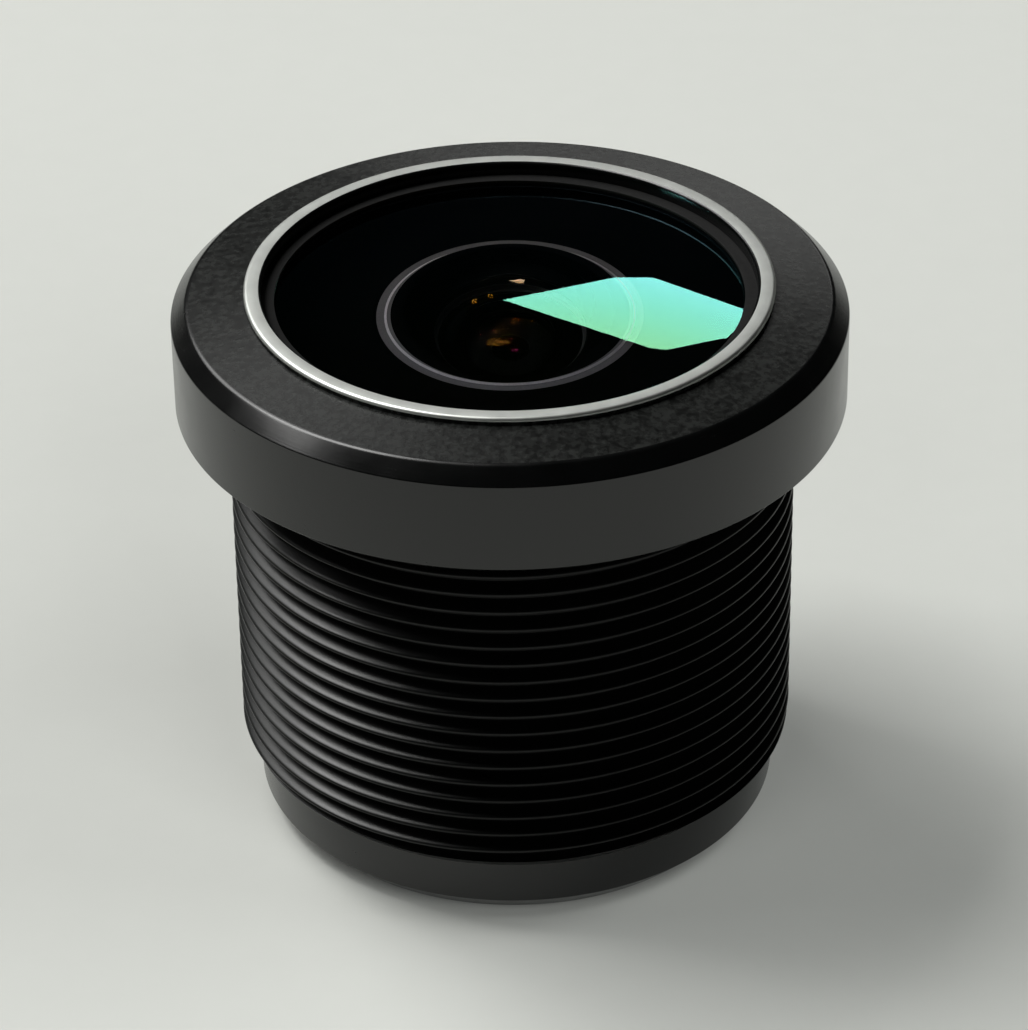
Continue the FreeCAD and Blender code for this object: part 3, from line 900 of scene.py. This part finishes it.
def mirrored(pixel, focal, sizes):
    """Where the sight line through a pixel goes once the outer glass's dome has reflected it."""
    _, _, top = span("front_element")
    _, land, _ = span("glass_slip_ring")
    rise = top - land
    ball = (sizes.dome_radius ** 2 + rise ** 2) / (2 * rise)
    centre = Vector((0, 0, top - ball))
    ray = sight(pixel, focal)
    start = CAMERA_PLACE - centre
    along = -start.dot(ray) - math.sqrt(start.dot(ray) ** 2 - start.length_squared + ball ** 2)
    point = CAMERA_PLACE + ray * along
    normal = (point - centre).normalized()
    return point, ray - 2 * ray.dot(normal) * normal


def light_only(source, *pieces):
    """Let a light reach these pieces alone."""
    lit = bpy.data.collections.new(f"{source.name}_reach")
    for piece in pieces:
        lit.objects.link(piece)
    source.light_linking.receiver_collection = lit


def light_all_but(source, *pieces):
    """Keep a light off these pieces."""
    light_only(source, *pieces)
    for entry in source.light_linking.receiver_collection.collection_objects:
        entry.light_linking.link_state = "EXCLUDE"


def soft_light(name, azimuth, elevation, width, height, power, tint=WARM):
    """A soft light aimed at the lens. Azimuth 0 is behind the lens, and 90 is on the picture's right."""
    data = bpy.data.lights.new(name, "AREA")
    data.shape, data.size, data.size_y = "RECTANGLE", width, height
    data.energy, data.color = power, tint
    lamp = bpy.data.objects.new(name, data)
    azimuth, elevation = math.radians(azimuth), math.radians(elevation)
    direction = Vector((math.sin(azimuth) * math.cos(elevation), math.cos(azimuth) * math.cos(elevation),
                        math.sin(elevation)))
    lamp.location = Vector((0, 0, AIM_HEIGHT)) + direction * LAMP_DISTANCE
    lamp.rotation_mode = "QUATERNION"
    lamp.rotation_quaternion = direction.to_track_quat("Z", "Y")
    bpy.context.scene.collection.objects.link(lamp)
    return lamp


def lights_for(pieces, name, places, width, height, power, tint=WARM):
    """Soft lights that reach these pieces alone, at places of azimuth, elevation and share of the power."""
    for azimuth, elevation, part in places:
        lamp = soft_light(f"{name}_{azimuth}", azimuth, elevation, width, height, power * part, tint)
        light_only(lamp, *pieces)


def new_object(name, mesh, material):
    """A plain object of the stage, from a finished mesh."""
    data = bpy.data.meshes.new(name)
    mesh.to_mesh(data)
    mesh.free()
    data.materials.append(material)
    made = bpy.data.objects.new(name, data)
    bpy.context.scene.collection.objects.link(made)
    return made


def floor_finish(light):
    """Pale matt paper with a faint mottle."""
    material, point = new_finish("pale_paper", Specular_IOR_Level=0.2)
    cloud = point.noise(scale=0.05, detail=3.0)
    fibre = point.noise(scale=0.9, detail=4.0, roughness=0.6)
    feed(material,
         Base_Color=(cloud * 0.5 + fibre * 0.5).blend(scaled(light.floor, 0.94), light.floor),
         Roughness=0.8 + fibre.swing(0.2),
         Normal=fibre.bump(0.02 * MM, 0.4))
    return material


class LENS_OT_stage(bpy.types.Operator):
    """Set the floor, the lights and the camera"""

    bl_idname = "lens.stage"
    bl_label = "Stage"

    def execute(self, context):
        scene, light, sizes = context.scene, context.scene.stage_light, context.scene.lens_sizes
        mesh = bmesh.new()
        bmesh.ops.create_grid(mesh, x_segments=8, y_segments=8, size=FLOOR_REACH)
        floor = new_object("floor", mesh, floor_finish(light))

        outline = []
        for start, end in zip(WINDOW_IN_GLASS, WINDOW_IN_GLASS[1:] + WINDOW_IN_GLASS[:1]):
            parts = [step / WINDOW_STEPS for step in range(WINDOW_STEPS)]
            outline += [Vector(start).lerp(Vector(end), part) for part in parts]
        reflected = [mirrored(pixel, light.focal, sizes) for pixel in outline]
        mesh = bmesh.new()
        corners = [mesh.verts.new(point + direction * WINDOW_DISTANCE) for point, direction in reflected]
        mesh.faces.new(corners)
        bmesh.ops.triangulate(mesh, faces=mesh.faces)
        glow, _ = new_finish("window_light", Base_Color=(0, 0, 0), Emission_Strength=light.window_strength,
                             Emission_Color=(1.0, 1.0, 1.0))
        window = new_object("window", mesh, glow)
        window.visible_camera = False
        window.visible_shadow = False

        pieces = bpy.data.objects
        glasses = [pieces["outer_glass"]] + [pieces[f"{row[0]}_glass"] for row in INNER_GLASSES]
        light_only(window, pieces["outer_glass"])
        for name, azimuth, elevation, width, height in MAIN_LIGHTS:
            power = getattr(light, f"{name}_power")
            light_all_but(soft_light(f"{name}_light", azimuth, elevation, width, height, power), *glasses)
        lights_for([pieces["threaded_barrel"]], "thread_light", THREAD_LIGHTS, 0.24, 0.24, light.thread_power)
        lights_for(glasses, "glint", GLINTS, 0.08, 0.08, light.glint_power)
        lights_for([pieces["front_cap"]], "cap_light", CAP_LIGHTS, 0.19, 0.15, light.cap_power)
        lights_for([floor], "fill", FLOOR_FILLS, 0.26, 0.26, light.fill_power, COOL)

        world = bpy.data.worlds.new("ambient")
        world.use_nodes = True
        background = world.node_tree.nodes["Background"]
        background.inputs["Color"].default_value = AMBIENT_TINT
        background.inputs["Strength"].default_value = light.ambient
        scene.world = world
        scene.view_settings.view_transform = "Standard"

        data = bpy.data.cameras.new("camera")
        data.lens = light.focal
        data.sensor_width = SENSOR_WIDTH
        data.clip_start, data.clip_end = 0.005, 10.0
        camera = bpy.data.objects.new("camera", data)
        right, up, forward = camera_axes()
        turn = Matrix((right, up, -forward)).transposed().to_4x4()
        camera.matrix_world = Matrix.Translation(CAMERA_PLACE) @ turn
        scene.collection.objects.link(camera)
        scene.camera = camera
        return {"FINISHED"}


class LENS_PT_panel(bpy.types.Panel):
    """The lens's pieces, sizes and finishes"""

    bl_idname = "LENS_PT_panel"
    bl_label = "Board camera lens"
    bl_space_type = "VIEW_3D"
    bl_region_type = "UI"
    bl_category = "Lens"

    def draw(self, context):
        for operator in OPERATORS:
            self.layout.operator(operator.bl_idname)
        for group in (context.scene.lens_sizes, context.scene.lens_finishes, context.scene.stage_light):
            for name in group.__annotations__:
                self.layout.prop(group, name)


OPERATORS = (LENS_OT_barrel, LENS_OT_front_cap, LENS_OT_outer_glass, LENS_OT_slip_ring, LENS_OT_inner_glasses,
             LENS_OT_inner_rings, LENS_OT_rear_filter, LENS_OT_stage)
CLASSES = (LensSizes, LensFinishes, StageLight) + OPERATORS + (LENS_PT_panel,)


def register():
    """Register the classes and put their settings on the scene."""
    for item in CLASSES:
        bpy.utils.register_class(item)
    bpy.types.Scene.lens_sizes = PointerProperty(type=LensSizes)
    bpy.types.Scene.lens_finishes = PointerProperty(type=LensFinishes)
    bpy.types.Scene.stage_light = PointerProperty(type=StageLight)


def unregister():
    """Take the settings and the classes away again."""
    del bpy.types.Scene.stage_light
    del bpy.types.Scene.lens_finishes
    del bpy.types.Scene.lens_sizes
    for item in reversed(CLASSES):
        bpy.utils.unregister_class(item)


def main():
    """Make the lens and its stage."""
    register()
    bpy.ops.lens.barrel()
    bpy.ops.lens.front_cap()
    bpy.ops.lens.outer_glass()
    bpy.ops.lens.slip_ring()
    bpy.ops.lens.inner_glasses()
    bpy.ops.lens.inner_rings()
    bpy.ops.lens.rear_filter()
    bpy.ops.lens.stage()


if __name__ == "__main__":
    main()
